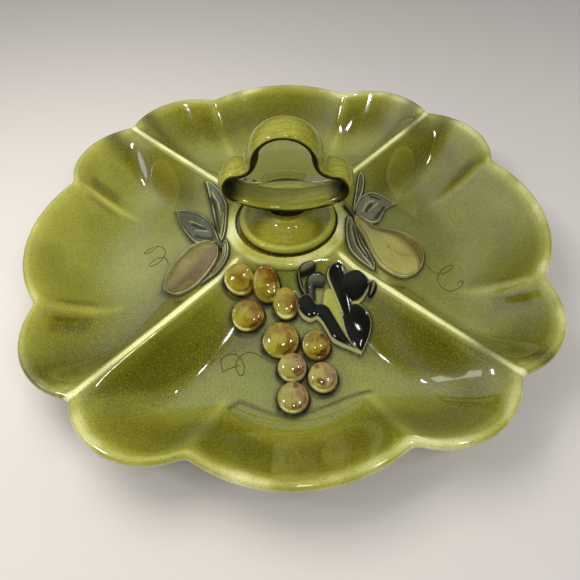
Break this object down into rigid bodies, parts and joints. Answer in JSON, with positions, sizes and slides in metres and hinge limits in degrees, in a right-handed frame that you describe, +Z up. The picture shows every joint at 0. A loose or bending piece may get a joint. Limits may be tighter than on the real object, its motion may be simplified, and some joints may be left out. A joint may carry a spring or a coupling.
{
  "type": "divided serving dish",
  "caption": "Scalloped round serving dish in green glazed earthenware, divided into compartments with fruit and leaf relief, with a fixed loop handle at its centre.",
  "frame": {"origin": "on the table, under the middle of the dish and its handle", "axes": "+Z up; the compartment with the grapes faces -Y, and the handle's loop lies close to the XZ plane"},
  "size_m": [0.332, 0.332, 0.1125],
  "materials": {
    "body_glaze": "high-gloss avocado green glaze over earthenware, thin and yellower on edges",
    "grape_glaze": "gloss amber-brown underglaze under green glaze",
    "vine_glaze": "gloss black-green glaze",
    "stem_glaze": "gloss grey-green glaze",
    "leaf_glaze": "gloss dark grey-green glaze with pale raised veins",
    "pear_glaze": "gloss tan-olive glaze",
    "fruit_glaze": "gloss mauve-tan glaze with a pale raised edge"
  },
  "bodies": {
    "root": {"dish_body": "body_glaze", "handle": "body_glaze", "grape_1": "grape_glaze", "grape_2": "grape_glaze", "grape_3": "grape_glaze", "grape_4": "grape_glaze", "grape_5": "grape_glaze", "grape_6": "grape_glaze", "grape_7": "grape_glaze", "grape_8": "grape_glaze", "grape_9": "grape_glaze", "vine_leaf_lower": "vine_glaze", "vine_leaf_upper": "vine_glaze", "grape_stem": "stem_glaze", "grape_twig": "stem_glaze", "left_fruit": "fruit_glaze", "left_leaf_side": "leaf_glaze", "left_leaf_upper": "leaf_glaze", "left_leaf_lower": "leaf_glaze", "pear": "pear_glaze", "right_leaf_side": "leaf_glaze", "right_leaf_upper": "leaf_glaze", "right_leaf_lower": "leaf_glaze", "back_fruit": "fruit_glaze", "back_leaf_right": "leaf_glaze", "back_leaf_left": "leaf_glaze"}
  },
  "joints": []
}
